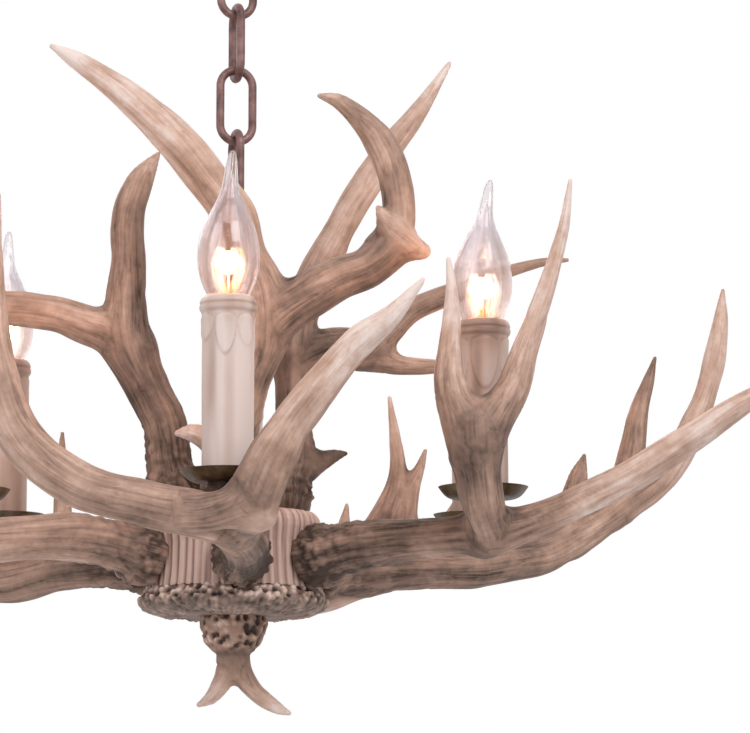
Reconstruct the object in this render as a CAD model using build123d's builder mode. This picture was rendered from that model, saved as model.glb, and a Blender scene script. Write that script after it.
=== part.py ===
from build123d import *
import os
from math import cos, radians, sin

os.makedirs("parts", exist_ok=True)

# Antler chandelier: six arms of cast antler round a laced hub, three antlers standing on it,
# hung from a five-link chain. Origin on the ceiling, at the centre of the canopy. Millimetres.
# Antler stations are (x, y, height above the hub's top, radius of the section).

# ---- driving dimensions ----
HUB_TOP = -443.0  # the hub's top plate, below the ceiling
DRUM_R = 52.0
DRUM_H = 56.0
DRUM_WALL = 6.0
RING_R = 57.0
RING_H = 16.5
TUBE_R = 6.5
TUBE_BORE_R = 5.0
TUBE_TOP = 162.0  # above the hub's top
LOOP_R = 9.0  # both eyes, to the middle of the rod
LOOP_ROD_R = 2.8
LINK_ROD_R = 2.55
LINK_HALF_WIDTH = 10.3
LINK_SPAN = 45.4  # from the middle of the lower bar to the middle of the upper one
LINK_COUNT = 5
LINK_TURN = 14.5  # the links' planes stand this much off the row's X and Y
GAP = 0.3  # running space between hooked rods
CANOPY_R = 62.0
CANOPY_H = 28.0
CANOPY_SKIN = 1.2
STRAP_L = 92.0
STRAP_W = 18.0
STRAP_T = 2.5
CEILING_HOLES = 70.0
CEILING_HOLE_R = 2.3

CANDLE_R = 171.0  # circle of the candles
CANDLE_AZIMUTHS = [-91.3, -31.3, 26.5, 88.7, 149.0, -158.0]
DISH_R = 26.5
DISH_RIM = -2.0  # the height of a dish's rim
DISH_DEPTH = 9.0
DISH_SKIN = 1.6
SLEEVE_R = 15.0
SLEEVE_BORE_R = 13.0
SLEEVE_H = 104.0
HOLDER_R = 12.6
HOLDER_H = 82.0
CAP_R = 6.9
SOCKET_R = 7.2
NIPPLE_R = 5.0
PEDESTAL_R = 9.5
BULB_R = 17.5
BULB_SKIN = 0.8

SCREW_R = 3.0
SCREW_HEAD_R = 6.0
SCREW_HEAD_H = 3.0
SCREW_LENGTH = 24.0
FOOT_SCREW_R = 36.0  # circle of the screws under the three uprights
BURR_SWELL = 1.2


def on_hub(height):
    """A height above the hub's top, as a height in the row's frame."""
    return HUB_TOP + height


def side_of(azimuth, radius):
    """A point beside the hub's axis, level with the hub's top."""
    return radius * cos(radians(azimuth)), radius * sin(radians(azimuth))


def section_planes(stations):
    """Planes square to the line through the stations, turned as little as they can be."""
    points = [Vector(x, y, on_hub(z)) for x, y, z, r in stations]
    side = Vector(0.31, 0.48, 0.82)
    planes = []
    for i, point in enumerate(points):
        after = points[min(i + 1, len(points) - 1)]
        before = points[max(i - 1, 0)]
        along = (after - before).normalized()
        side = (side - along * side.dot(along)).normalized()
        planes.append(Plane(point, x_dir=side, z_dir=along))
    return planes


def limb(stations):
    """One round-sectioned branch through the stations."""
    sections = []
    for plane, station in zip(section_planes(stations), stations):
        with BuildSketch(plane) as section:
            Circle(station[3])
        sections.append(section.sketch)
    loft(sections)


def burr(stations):
    """The rough collar where an antler left the skull, round the first station."""
    plane = section_planes(stations[:2])[0]
    radius = stations[0][3]
    sections = []
    for lift, swell in ((0.0, 1.06), (3.0, BURR_SWELL), (7.0, BURR_SWELL), (12.0, 0.98)):
        with BuildSketch(plane.offset(lift)) as section:
            Circle(radius * swell)
        sections.append(section.sketch)
    loft(sections)


# ---- the antlers' branches ----
# Each antler's first branch starts at its butt; the others grow out of it.
FRONT_ANTLER = [
    [(4, -54, -40, 16), (7, -95, -42, 15), (5, -132, -36, 14.5), (-6, -162, -29, 13.8),
     (-27, -183, -27, 13.2), (-52, -191, -22.5, 13.4),
     (-85, -190, -13, 13), (-118, -184, 14, 13), (-134, -176, 54, 12.3), (-139, -168, 104, 9),
     (-136, -160, 156, 2.2)],
    [(2, -156, -31, 12), (8, -181, -26, 13.4), (13.5, -204.5, -15, 12.8), (21, -211, 2, 12.6),
     (32, -213, 20, 11.3), (49, -217, 42, 10.5), (68, -222, 64, 8.7), (85, -227, 77, 6),
     (103, -231, 97, 1.4)],
    [(8, -184, -27, 9), (14, -199, -27.5, 8)],
]
FRONT_RIGHT_ANTLER = [
    [(46.5, -28.3, -39, 16), (78, -47, -33, 14.5), (112, -67, -30, 12.3), (139, -84, -29, 12.2),
     (166, -102, -26, 11.5), (186, -112, -19, 9.6), (206, -118, -10, 9.8), (229, -126, 1, 9.2),
     (266, -140, 24, 8.7), (294, -150, 42, 6.5), (326, -158, 60, 1.6)],
    [(150, -96, -28, 11), (142, -127, -10, 13), (139, -136, 8, 14), (138, -139, 24, 15)],
    [(137, -138, 15, 12), (129, -139, 36, 12), (123.5, -140, 52, 9.6), (123.5, -141, 73, 6.8),
     (124.5, -142, 94, 4.8), (124, -143, 111, 2.8), (122.6, -143, 124, 1.3)],
    [(139, -138, 15, 12), (149, -139, 33, 12.3), (159, -139, 49, 10.2), (166, -140, 70, 7.8),
     (172, -141, 87, 6.4), (179, -142, 107, 5.2), (185, -143, 127, 4.3), (189.5, -145, 145, 3.4),
     (193, -147, 170, 1.3)],
]
BACK_RIGHT_ANTLER = [
    [(47.3, 26, -40, 16), (64, 35, -40.5, 15.4), (85, 46, -39.5, 15), (120, 62, -37, 13.5),
     (152, 78, -35.5, 13.3), (178, 95, -29.5, 13.6), (197, 108, -24.5, 13.8),
     (216, 121, -14.5, 13.2), (235, 130, -3, 12), (254, 138, 11, 11.3), (273, 144, 24, 11),
     (289, 148, 41, 10), (303, 150, 65, 9), (312, 152, 86, 7.6), (319, 153, 112, 7),
     (323, 154, 134, 5.2), (325, 154, 156.5, 1.4)],
    [(250, 137, 8, 10.5), (256.5, 140, 27, 9.6), (261.5, 141, 46, 8.4), (266.5, 142, 73.5, 6.2),
     (273, 142, 94, 4), (277.5, 142, 109, 1.4)],
    [(217, 122, -14, 9), (219, 121, 5, 9), (223, 120, 25, 7), (227.5, 119, 41, 1.4)],
    [(88, 46, -44, 10), (76, 50, -50, 8.2), (59, 54, -57.7, 7.5), (38, 58, -64, 5),
     (26, 60, -69.5, 1.6)],
]
BACK_ANTLER = [
    [(1, 54, -40, 16), (2, 100, -46, 15), (5, 145, -46, 14), (20, 182, -38, 13.5),
     (50, 203, -26, 13), (85, 213, -16, 12.5), (118, 216, -7, 11.5), (140, 214, -2, 10),
     (155, 211, 14, 9.5), (163, 206, 40, 8), (165, 201, 68, 6.5), (163, 197, 96, 4.5),
     (160, 194, 119, 1.5)],
    [(90, 214, -12, 11), (101, 215, 8, 10), (108.5, 215, 28, 7.2), (110.5, 215, 45, 5.6),
     (109, 215, 62, 4.2), (105, 213, 91, 1.2)],
    [(116, 216, -4, 9), (117.5, 216, 8, 6.3), (121, 216, 30, 4.8), (126, 216, 44, 3.4),
     (129.5, 216, 55.5, 1.2)],
    [(70, 209, -22, 9), (73, 208, -4, 5.5), (76, 208, 17, 1.2)],
]
BACK_LEFT_ANTLER = [
    [(-46.7, 28, -39, 16), (-76, 46, -38, 14.3), (-104, 62, -39, 13), (-139, 83, -45.5, 13.4),
     (-162, 97, -42.5, 13), (-187, 109, -33, 12), (-218, 122, -14, 11.5), (-246, 132, 14, 10.5),
     (-267, 138, 48, 9), (-280, 140, 84, 6.5), (-286, 139, 118, 1.3)],
    [(-105, 64, -38, 9), (-107, 68, -18, 7.3), (-108.6, 75, 5, 5.3), (-109.3, 80, 27, 4),
     (-109.6, 84, 50, 1.1)],
    [(-240, 130, 8, 9), (-256, 124, 36, 7.5), (-270, 120, 62, 5), (-282, 118, 92, 1.2)],
]
FRONT_LEFT_ANTLER = [
    [(-50, -21, -38, 16), (-74, -32, -31, 14.5), (-95, -41, -28, 14), (-123, -51, -29.5, 13.2),
     (-158, -64, -32, 13), (-190, -77, -25, 12.3), (-222, -90, -8, 11.8), (-250, -100, 16, 10.8),
     (-271, -106, 48, 9), (-284, -108, 86, 6.3), (-290, -107, 120, 1.3)],
    [(-168, -72, -28, 11), (-176, -100, -8, 12), (-178, -109, 12, 12.5), (-180, -113, 30, 12)],
    [(-181, -112, 22, 10), (-190, -116, 50, 8.5), (-198, -120, 80, 6), (-204, -123, 110, 4),
     (-207, -124, 140, 1.2)],
    [(-179, -112, 22, 10), (-169, -112, 50, 8), (-163, -113, 75, 5.5), (-160, -115, 100, 3),
     (-159, -116, 118, 1.1)],
]
LOWER_ANTLERS = {
    "front_arm_antler": FRONT_ANTLER,
    "front_right_arm_antler": FRONT_RIGHT_ANTLER,
    "back_right_arm_antler": BACK_RIGHT_ANTLER,
    "back_arm_antler": BACK_ANTLER,
    "back_left_arm_antler": BACK_LEFT_ANTLER,
    "front_left_arm_antler": FRONT_LEFT_ANTLER,
}
FRONT_UPRIGHT = [
    [(0, -33, 0, 16), (0, -39, 31, 13.5), (7, -44, 63, 13.5), (15, -48, 90, 15.5),
     (14, -51, 118, 16), (5, -54, 143, 13.6), (-1, -57, 164.5, 13.4), (-15, -60, 184, 12.3),
     (-32, -63, 205.5, 12), (-55.5, -69, 227, 10.2), (-78.5, -72, 244.5, 8),
     (-96, -74, 255.5, 5.2), (-110.5, -76, 263.5, 1.6)],
    [(14, -48, 92, 13), (28, -51, 106, 14.5), (44, -53, 117, 14.3), (62.5, -55, 127, 12.9),
     (80, -56, 134, 12.3), (92, -57, 145, 11.5), (98, -57, 160, 10), (98, -57, 176.5, 9.8),
     (93.5, -56, 197, 9.9), (86.5, -55, 211.5, 9.4), (78.5, -54, 222, 7.9), (70.5, -53, 230, 6.4),
     (61, -52, 237.2, 4.6), (50.5, -50, 240.5, 1.6)],
    [(88, -57, 146, 9), (102, -59, 145, 6.5), (112, -61, 143.2, 3)],
    [(112, -61, 143.5, 2.6), (103, -65, 149, 5.4), (95, -67, 155, 6), (89, -67, 161.5, 4.4),
     (85.3, -66, 168.5, 1.4)],
    [(-3, -36, 21, 8), (-16, -40, 31, 6.8), (-26, -42, 35, 5), (-34, -42, 34.5, 2)],
]
RIGHT_UPRIGHT = [
    [(37, 21, 0, 14.5), (37.5, 24, 22, 12.6), (37, 28, 50, 11.6), (36, 32, 80, 11.2),
     (37, 35, 106, 11.6), (44, 39, 131, 12), (55, 43, 153.5, 11.7), (64, 44, 172, 10.4),
     (73, 46, 189.5, 9.8), (86.5, 48, 211.5, 9.6), (100.5, 50, 233, 8.2), (112, 52, 248, 6.8),
     (122, 53, 263, 5), (136.2, 55, 286, 1.4)],
    [(36, 32, 86, 9.5), (50, 36, 96, 11), (64, 41, 99, 12.5), (82, 46, 100, 13),
     (96.5, 48, 111, 9.6), (110.4, 49, 123.5, 7.4), (129.3, 50, 132.5, 6.9), (151.4, 50, 141.5, 5.3),
     (172, 50, 150, 4.1), (198, 50, 157, 2.8), (211, 50, 158, 1.3)],
    [(82, 46, 97, 10), (101, 48, 90, 7), (128, 49, 89, 4.3), (147, 49, 91.5, 1.2)],
    [(40, 24, 20, 8), (52, 26, 25, 6.5), (62, 27, 29.5, 4.3), (69, 28, 31, 1.6)],
]
LEFT_UPRIGHT = [
    [(-35, 14, 0, 16), (-40, 14, 22, 13.8), (-43, 13, 46, 13.2), (-54.6, 12, 70, 13.4),
     (-66, 11, 96, 15), (-67, 10, 122, 13), (-66.3, 10, 150, 10.8), (-67, 10, 169.5, 10.6),
     (-65.6, 10, 183, 10), (-62, 10, 193, 9), (-58, 10, 201.5, 7.2), (-52.6, 10, 210, 4.2),
     (-48.3, 10, 216.5, 1.3)],
    [(-62, 11, 92, 12.5), (-76, 12, 102, 13), (-91.3, 12, 108, 12.2), (-107.5, 12, 114, 11.2),
     (-127, 12, 117.5, 11.2), (-146, 13, 119, 11), (-165, 16, 125, 9.8), (-184, 18, 139, 8),
     (-196, 20, 160, 6), (-202, 22, 184, 3.6), (-204, 22, 204, 1.2)],
    [(-150, 13, 118, 8), (-170, 2, 114, 5.5), (-190, -5, 116, 1.2)],
]
UPPER_ANTLERS = {
    "front_upright_antler": FRONT_UPRIGHT,
    "right_upright_antler": RIGHT_UPRIGHT,
    "left_upright_antler": LEFT_UPRIGHT,
}


def save(piece, name):
    """Label one piece and write it under its own name."""
    piece.part.label = name
    export_step(piece.part, f"parts/{name}.step")


def arm_plane(branches, distance):
    """A plane square to an arm's butt, this far from the hub's axis, facing outwards."""
    x, y, z, r = branches[0][0]
    outward = Vector(x, y, 0).normalized()
    return Plane(outward * distance + Vector(0, 0, on_hub(z)), z_dir=outward)


def foot_plane(branches, height):
    """A level plane at an upright antler's screw, facing upwards."""
    x, y, z, r = branches[0][0]
    place = Vector(x, y, 0).normalized() * FOOT_SCREW_R
    return Plane((place.X, place.Y, on_hub(height)), z_dir=(0, 0, 1))


# ---- arms: six antlers held to the drum's side, each with a candle on it ----
for (name, branches), azimuth in zip(LOWER_ANTLERS.items(), CANDLE_AZIMUTHS):
    seat_x, seat_y = side_of(azimuth, CANDLE_R)
    with BuildPart() as arm:
        for stations in branches:
            limb(stations)
        burr(branches[0])
        with BuildSketch(Plane((seat_x, seat_y, on_hub(-DISH_DEPTH)))):
            Circle(PEDESTAL_R)
        extrude(amount=-24)
        with BuildSketch(Plane((seat_x, seat_y, on_hub(-DISH_DEPTH)))):
            Circle(NIPPLE_R)
        extrude(amount=-14, mode=Mode.SUBTRACT)
        with BuildSketch(arm_plane(branches, DRUM_R - 30)):
            Circle(60)
        extrude(amount=30.3, mode=Mode.SUBTRACT)
        with BuildSketch(arm_plane(branches, DRUM_R)):
            Circle(SCREW_R)
        extrude(amount=SCREW_LENGTH - DRUM_WALL, mode=Mode.SUBTRACT)
    save(arm, name)

# ---- uprights: three antlers standing on the hub ----
for name, branches in UPPER_ANTLERS.items():
    with BuildPart() as upright:
        for stations in branches:
            limb(stations)
        burr(branches[0])
        with BuildSketch(foot_plane(branches, 0)):
            Circle(60)
        extrude(amount=-30, mode=Mode.SUBTRACT)
        with BuildSketch(foot_plane(branches, 0)):
            Circle(SCREW_R)
        extrude(amount=SCREW_LENGTH - DRUM_WALL, mode=Mode.SUBTRACT)
    save(upright, name)

# ---- the hub: laced drum, steel core, burr ring, finial ----
with BuildPart() as drum:
    with BuildSketch(Plane.XY.offset(on_hub(0))):
        Circle(DRUM_R)
    extrude(amount=-DRUM_H)
    with BuildSketch(Plane.XY.offset(on_hub(-DRUM_WALL))):
        Circle(DRUM_R - DRUM_WALL)
    extrude(amount=DRUM_WALL - DRUM_H, mode=Mode.SUBTRACT)
    with BuildSketch(Plane.XY.offset(on_hub(0))):
        Circle(TUBE_R)
    extrude(amount=-DRUM_WALL, mode=Mode.SUBTRACT)
    fillet(drum.edges().filter_by(GeomType.CIRCLE).filter_by(lambda e: e.radius > DRUM_R - 1)
           .sort_by(Axis.Z)[-1:], radius=3)
    for branches in LOWER_ANTLERS.values():
        with BuildSketch(arm_plane(branches, DRUM_R + 1)):
            Circle(SCREW_R)
        extrude(amount=-DRUM_WALL - 4, mode=Mode.SUBTRACT)
    for branches in UPPER_ANTLERS.values():
        with BuildSketch(foot_plane(branches, 0)):
            Circle(SCREW_R)
        extrude(amount=-DRUM_WALL, mode=Mode.SUBTRACT)
save(drum, "hub_drum")

CORE_R = 20.0
with BuildPart() as core:
    with BuildSketch(Plane.XY.offset(on_hub(-DRUM_WALL))):
        Circle(CORE_R)
        Circle(TUBE_R, mode=Mode.SUBTRACT)
    extrude(amount=DRUM_WALL - DRUM_H)
    fillet(core.edges().filter_by(GeomType.CIRCLE).filter_by(lambda e: e.radius > TUBE_R + 1),
           radius=2)
save(core, "hub_core")

with BuildPart() as ring:
    with BuildSketch(Plane.XZ) as ring_outline:
        with BuildLine():
            Polyline((TUBE_R, on_hub(-DRUM_H)), (RING_R - 6, on_hub(-DRUM_H)),
                     (RING_R - 5, on_hub(-DRUM_H - 4)))
            Spline((RING_R - 5, on_hub(-DRUM_H - 4)), (RING_R + 2, on_hub(-DRUM_H - 8.5)),
                   (RING_R - 1, on_hub(-DRUM_H - 13)), (RING_R - 12, on_hub(-DRUM_H - RING_H)))
            Polyline((RING_R - 12, on_hub(-DRUM_H - RING_H)), (TUBE_R, on_hub(-DRUM_H - RING_H)),
                     (TUBE_R, on_hub(-DRUM_H)))
        make_face()
    revolve(axis=Axis.Z)
save(ring, "burr_ring")

FINIAL_TOP = -DRUM_H - RING_H
FINIAL_TINES = [
    [(1, 0, FINIAL_TOP - 22, 9.5), (-6, -1, FINIAL_TOP - 34, 7.5), (-12, -2, FINIAL_TOP - 44, 5),
     (-20.5, -3, FINIAL_TOP - 51, 1.8)],
    [(-1, 0, FINIAL_TOP - 22, 9.5), (6, 0, FINIAL_TOP - 33, 7.5), (16, -1, FINIAL_TOP - 46, 6.4),
     (26, -2, FINIAL_TOP - 53, 4.4), (34, -3, FINIAL_TOP - 56.5, 1.8)],
]
with BuildPart() as finial:
    knob = [(0, 0, FINIAL_TOP, 19.5), (0, 0, FINIAL_TOP - 6, 20.8), (0, 0, FINIAL_TOP - 13, 19.5),
            (0, 0, FINIAL_TOP - 20, 14), (0, 0, FINIAL_TOP - 28, 10.5)]
    limb(knob)
    for stations in FINIAL_TINES:
        limb(stations)
    with BuildSketch(Plane.XY.offset(on_hub(FINIAL_TOP + 2))):
        Circle(TUBE_R)
    extrude(amount=-14, mode=Mode.SUBTRACT)
save(finial, "finial")

# ---- the stem: hollow tube, its nuts and the eye it hangs by ----
with BuildPart() as tube:
    with BuildSketch(Plane.XY.offset(on_hub(FINIAL_TOP - 10))):
        Circle(TUBE_R)
        Circle(TUBE_BORE_R, mode=Mode.SUBTRACT)
    extrude(amount=TUBE_TOP - FINIAL_TOP + 10)
save(tube, "stem_tube")

NUT_ACROSS = 19.0
NUT_H = 6.0
with BuildPart() as nuts:
    with BuildSketch(Plane.XY.offset(on_hub(0))):
        RegularPolygon(NUT_ACROSS / 2, 6, major_radius=False)
        Circle(TUBE_R, mode=Mode.SUBTRACT)
    extrude(amount=NUT_H)
save(nuts, "stem_nut")


def turned(angle):
    """An upright plane through the chain's line, its X level and turned about +Z."""
    return Plane.XZ.rotated((0, 0, angle))


def eye(centre, angle):
    """A round eye standing in a turned plane."""
    plane = turned(angle)
    upright = Plane((0, 0, centre), x_dir=plane.x_dir, z_dir=plane.z_dir)
    start = upright.from_local_coords((LOOP_R, 0, 0))
    with BuildLine(upright) as rim:
        CenterArc((0, 0), LOOP_R, 0, 360)
    with BuildSketch(Plane(start, x_dir=plane.x_dir, z_dir=(0, 0, 1))) as rod:
        Circle(LOOP_ROD_R)
    sweep(rod.sketch, path=rim.line)


EYE_CENTRE = 178.75
EYE_COLLAR_R = 9.0
WIRE_HOLE_R = 2.3  # the inlet for the supply wires, in the side of each eye's collar
with BuildPart() as top_eye:
    eye(on_hub(EYE_CENTRE), LINK_TURN)
    with BuildSketch(Plane.XY.offset(on_hub(TUBE_TOP - 10))):
        Circle(EYE_COLLAR_R)
    extrude(amount=19)
    with BuildSketch(Plane.XY.offset(on_hub(TUBE_TOP - 10))):
        Circle(TUBE_R)
    extrude(amount=10, mode=Mode.SUBTRACT)
    with BuildSketch(Plane.XY.offset(on_hub(TUBE_TOP))):
        Circle(WIRE_HOLE_R + 1)
    extrude(amount=4.5, mode=Mode.SUBTRACT)
    with BuildSketch(Plane((0, 0, on_hub(TUBE_TOP + 2.4)), z_dir=(0, 1, 0))):
        Circle(WIRE_HOLE_R)
    extrude(amount=EYE_COLLAR_R + 1, mode=Mode.SUBTRACT)
save(top_eye, "stem_eye")

# ---- the chain ----
FIRST_BAR = EYE_CENTRE + LOOP_R - LOOP_ROD_R - LINK_ROD_R - GAP
LINK_PITCH = LINK_SPAN - 2 * LINK_ROD_R - GAP
for i in range(LINK_COUNT):
    angle = LINK_TURN + (90 if i % 2 == 0 else 0)
    low = on_hub(FIRST_BAR + i * LINK_PITCH)
    plane = turned(angle)
    upright = Plane((0, 0, low + LINK_SPAN / 2), x_dir=plane.x_dir, z_dir=plane.z_dir)
    with BuildPart() as link:
        with BuildLine(upright) as loop:
            half = LINK_SPAN / 2 - LINK_HALF_WIDTH
            Line((LINK_HALF_WIDTH, -half), (LINK_HALF_WIDTH, half))
            CenterArc((0, half), LINK_HALF_WIDTH, 0, 180)
            Line((-LINK_HALF_WIDTH, half), (-LINK_HALF_WIDTH, -half))
            CenterArc((0, -half), LINK_HALF_WIDTH, 180, 180)
        start = upright.from_local_coords((LINK_HALF_WIDTH, -half, 0))
        with BuildSketch(Plane(start, x_dir=plane.x_dir, z_dir=(0, 0, 1))):
            Circle(LINK_ROD_R)
        sweep(path=loop.wires()[0])
    save(link, f"chain_link_{i + 1}")

# ---- ceiling fittings ----
NIPPLE_REACH = 4.0  # how far the nipple screws into the eye's collar
TOP_BAR = FIRST_BAR + (LINK_COUNT - 1) * LINK_PITCH + LINK_SPAN
TOP_EYE_CENTRE = TOP_BAR - LINK_ROD_R - LOOP_ROD_R - GAP + LOOP_R
with BuildPart() as canopy_eye:
    eye(on_hub(TOP_EYE_CENTRE), LINK_TURN)
    with BuildSketch(Plane.XY.offset(-CANOPY_H)):
        Circle(10.0)
    extrude(amount=on_hub(TOP_EYE_CENTRE) + LOOP_R - 1 + CANOPY_H)
    with BuildSketch(Plane.XY.offset(-CANOPY_H)):
        Circle(NIPPLE_R)
    extrude(amount=-NIPPLE_REACH, mode=Mode.SUBTRACT)
save(canopy_eye, "canopy_eye")

with BuildPart() as canopy:
    with BuildSketch(Plane.XZ):
        with BuildLine():
            outer = Spline((CANOPY_R, -0.6), (CANOPY_R - 3, -9), (CANOPY_R - 22, -21),
                           (14, -CANOPY_H), tangents=((0, -1), (-1, 0)))
            Line((14, -CANOPY_H), (NIPPLE_R, -CANOPY_H))
            Line((NIPPLE_R, -CANOPY_H), (NIPPLE_R, -CANOPY_H + CANOPY_SKIN))
            Line((NIPPLE_R, -CANOPY_H + CANOPY_SKIN), (14, -CANOPY_H + CANOPY_SKIN))
            Spline((14, -CANOPY_H + CANOPY_SKIN), (CANOPY_R - 22.6, -21 + CANOPY_SKIN),
                   (CANOPY_R - 3 - CANOPY_SKIN, -8.6), (CANOPY_R - CANOPY_SKIN, -0.6),
                   tangents=((1, 0), (0, 1)))
            Line((CANOPY_R - CANOPY_SKIN, -0.6), (CANOPY_R, -0.6))
        make_face()
    revolve(axis=Axis.Z)
save(canopy, "canopy")

with BuildPart() as strap:
    with BuildSketch(Plane.XY):
        SlotOverall(STRAP_L, STRAP_W)
        Circle(NIPPLE_R, mode=Mode.SUBTRACT)
        with GridLocations(CEILING_HOLES, 1, 2, 1):
            Circle(CEILING_HOLE_R, mode=Mode.SUBTRACT)
    extrude(amount=-STRAP_T)
save(strap, "ceiling_strap")

with BuildPart() as canopy_nipple:
    with BuildSketch(Plane.XY):
        Circle(NIPPLE_R)
        Circle(NIPPLE_R - 1.5, mode=Mode.SUBTRACT)
    extrude(amount=-CANOPY_H - NIPPLE_REACH)
save(canopy_nipple, "canopy_nipple")

with BuildPart() as canopy_nut:
    with BuildSketch(Plane.XY.offset(-STRAP_T)):
        RegularPolygon(8.0, 6, major_radius=False)
        Circle(NIPPLE_R, mode=Mode.SUBTRACT)
    extrude(amount=-4)
save(canopy_nut, "canopy_nut")

# ---- screws that hold the antlers, from inside the drum ----
with BuildPart() as screws:
    for branches in LOWER_ANTLERS.values():
        with BuildSketch(arm_plane(branches, DRUM_R - DRUM_WALL - 0.5)):
            Circle(SCREW_R)
        extrude(amount=SCREW_LENGTH)
        with BuildSketch(arm_plane(branches, DRUM_R - DRUM_WALL - 0.5)):
            Circle(SCREW_HEAD_R)
        extrude(amount=-SCREW_HEAD_H)
    for branches in UPPER_ANTLERS.values():
        with BuildSketch(foot_plane(branches, -DRUM_WALL)):
            Circle(SCREW_R)
        extrude(amount=SCREW_LENGTH)
        with BuildSketch(foot_plane(branches, -DRUM_WALL)):
            Circle(SCREW_HEAD_R)
        extrude(amount=-SCREW_HEAD_H)
save(screws, "antler_screws")

# ---- candles: dish, lampholder, sleeve and bulb on each arm ----
FLOOR = DISH_SKIN - DISH_DEPTH  # the inside of a dish, where the sleeve stands
HOLDER_BASE = FLOOR
BULB_FOOT = FLOOR + HOLDER_H - 18  # the cap's lowest point
NECK_R = 9.0

with BuildPart() as nipples:
    for azimuth in CANDLE_AZIMUTHS:
        x, y = side_of(azimuth, CANDLE_R)
        with BuildSketch(Plane((x, y, on_hub(-DISH_DEPTH - 14)))):
            Circle(NIPPLE_R)
            Circle(NIPPLE_R - 1.5, mode=Mode.SUBTRACT)
        extrude(amount=14 + DISH_SKIN + 8)
save(nipples, "candle_nipples")

for i, azimuth in enumerate(CANDLE_AZIMUTHS, start=1):
    x, y = side_of(azimuth, CANDLE_R)
    section = Plane((x, y, on_hub(0)), x_dir=(1, 0, 0), z_dir=(0, -1, 0))
    spindle = Axis((x, y, on_hub(0)), (0, 0, 1))

    with BuildPart() as dish:
        with BuildSketch(section):
            with BuildLine():
                Line((NIPPLE_R, -DISH_DEPTH), (17, -DISH_DEPTH))
                Spline((17, -DISH_DEPTH), (22.5, -7), (DISH_R, DISH_RIM),
                       tangents=((1, 0), (0.7, 1)))
                Line((DISH_R, DISH_RIM), (DISH_R - DISH_SKIN, DISH_RIM))
                Spline((DISH_R - DISH_SKIN, DISH_RIM), (21.5, -5.7), (16.5, FLOOR),
                       tangents=((-0.7, -1), (-1, 0)))
                Line((16.5, FLOOR), (NIPPLE_R, FLOOR))
                Line((NIPPLE_R, FLOOR), (NIPPLE_R, -DISH_DEPTH))
            make_face()
        revolve(axis=spindle)
    save(dish, f"drip_dish_{i}")

    with BuildPart() as holder:
        with BuildSketch(section):
            with BuildLine():
                Polyline((NIPPLE_R, FLOOR), (HOLDER_R - 3, FLOOR), (HOLDER_R - 3, FLOOR + 40),
                         (HOLDER_R, FLOOR + 44), (HOLDER_R, FLOOR + HOLDER_H),
                         (SOCKET_R, FLOOR + HOLDER_H), (SOCKET_R, BULB_FOOT - 2),
                         (NIPPLE_R, BULB_FOOT - 2), (NIPPLE_R, FLOOR))
            make_face()
        revolve(axis=spindle)
        with BuildSketch(Plane((x, y, on_hub(BULB_FOOT - 12)))):
            Circle(NIPPLE_R)
        extrude(amount=10)
    save(holder, f"lampholder_{i}")

    with BuildPart() as sleeve:
        with BuildSketch(section):
            with BuildLine():
                Polyline((SLEEVE_BORE_R, FLOOR), (SLEEVE_R, FLOOR), (SLEEVE_R, 87), (16.2, 87),
                         (16.2, 94), (14.2, SLEEVE_H + FLOOR), (SLEEVE_BORE_R, SLEEVE_H + FLOOR),
                         (SLEEVE_BORE_R, FLOOR))
            make_face()
        revolve(axis=spindle)
    save(sleeve, f"candle_sleeve_{i}")

    with BuildPart() as glass:
        with BuildSketch(section):
            with BuildLine():
                outline = [(NECK_R, 77), (9.4, 90), (11.0, 98), (14.6, 108), (17.1, 118),
                           (BULB_R, 126), (16.4, 137), (13.2, 148), (9.2, 157), (5.8, 166),
                           (3.4, 174), (1.4, 181)]
                outer = Spline(*outline)
                Line((1.4, 181), (0, 181))
                Line((0, 181), (0, 177))
                inner = Spline((0, 177), (2.2, 174), (8.4, 157), (15.6, 137),
                               (BULB_R - BULB_SKIN, 126), (16.3, 118), (10.2, 98),
                               (NECK_R - BULB_SKIN, 90), (NECK_R - BULB_SKIN, 77))
                Line((NECK_R - BULB_SKIN, 77), (NECK_R, 77))
            make_face()
        revolve(axis=spindle)
    save(glass, f"bulb_glass_{i}")

    with BuildPart() as cap:
        with BuildSketch(section):
            with BuildLine():
                Polyline((0, BULB_FOOT), (3, BULB_FOOT), (CAP_R, BULB_FOOT + 4), (CAP_R, 76),
                         (NECK_R, 77), (4, 77), (2.2, 104), (0, 104), (0, BULB_FOOT))
            make_face()
        revolve(axis=spindle)
    save(cap, f"bulb_cap_{i}")
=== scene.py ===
import bpy
import numpy as np
from math import atan, cos, pi, radians, sin
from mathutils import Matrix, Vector


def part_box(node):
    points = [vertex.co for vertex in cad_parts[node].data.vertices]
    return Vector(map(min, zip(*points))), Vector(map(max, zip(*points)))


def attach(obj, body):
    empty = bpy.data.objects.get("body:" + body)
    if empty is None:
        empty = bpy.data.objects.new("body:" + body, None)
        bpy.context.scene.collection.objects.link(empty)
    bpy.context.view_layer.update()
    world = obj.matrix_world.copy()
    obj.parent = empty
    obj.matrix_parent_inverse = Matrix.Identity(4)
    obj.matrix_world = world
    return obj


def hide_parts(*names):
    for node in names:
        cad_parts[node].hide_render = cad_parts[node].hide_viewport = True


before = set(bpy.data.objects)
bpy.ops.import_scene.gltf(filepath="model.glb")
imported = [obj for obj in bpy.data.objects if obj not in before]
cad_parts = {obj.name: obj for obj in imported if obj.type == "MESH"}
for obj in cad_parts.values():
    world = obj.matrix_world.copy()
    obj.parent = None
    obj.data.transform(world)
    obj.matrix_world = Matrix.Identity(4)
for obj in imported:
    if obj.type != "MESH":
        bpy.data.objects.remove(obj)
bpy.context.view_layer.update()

# Lengths are millimetres until a mesh or object is made. Heights of the chandelier's own
# pieces count from the top of its hub.
MM = 0.001
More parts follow.
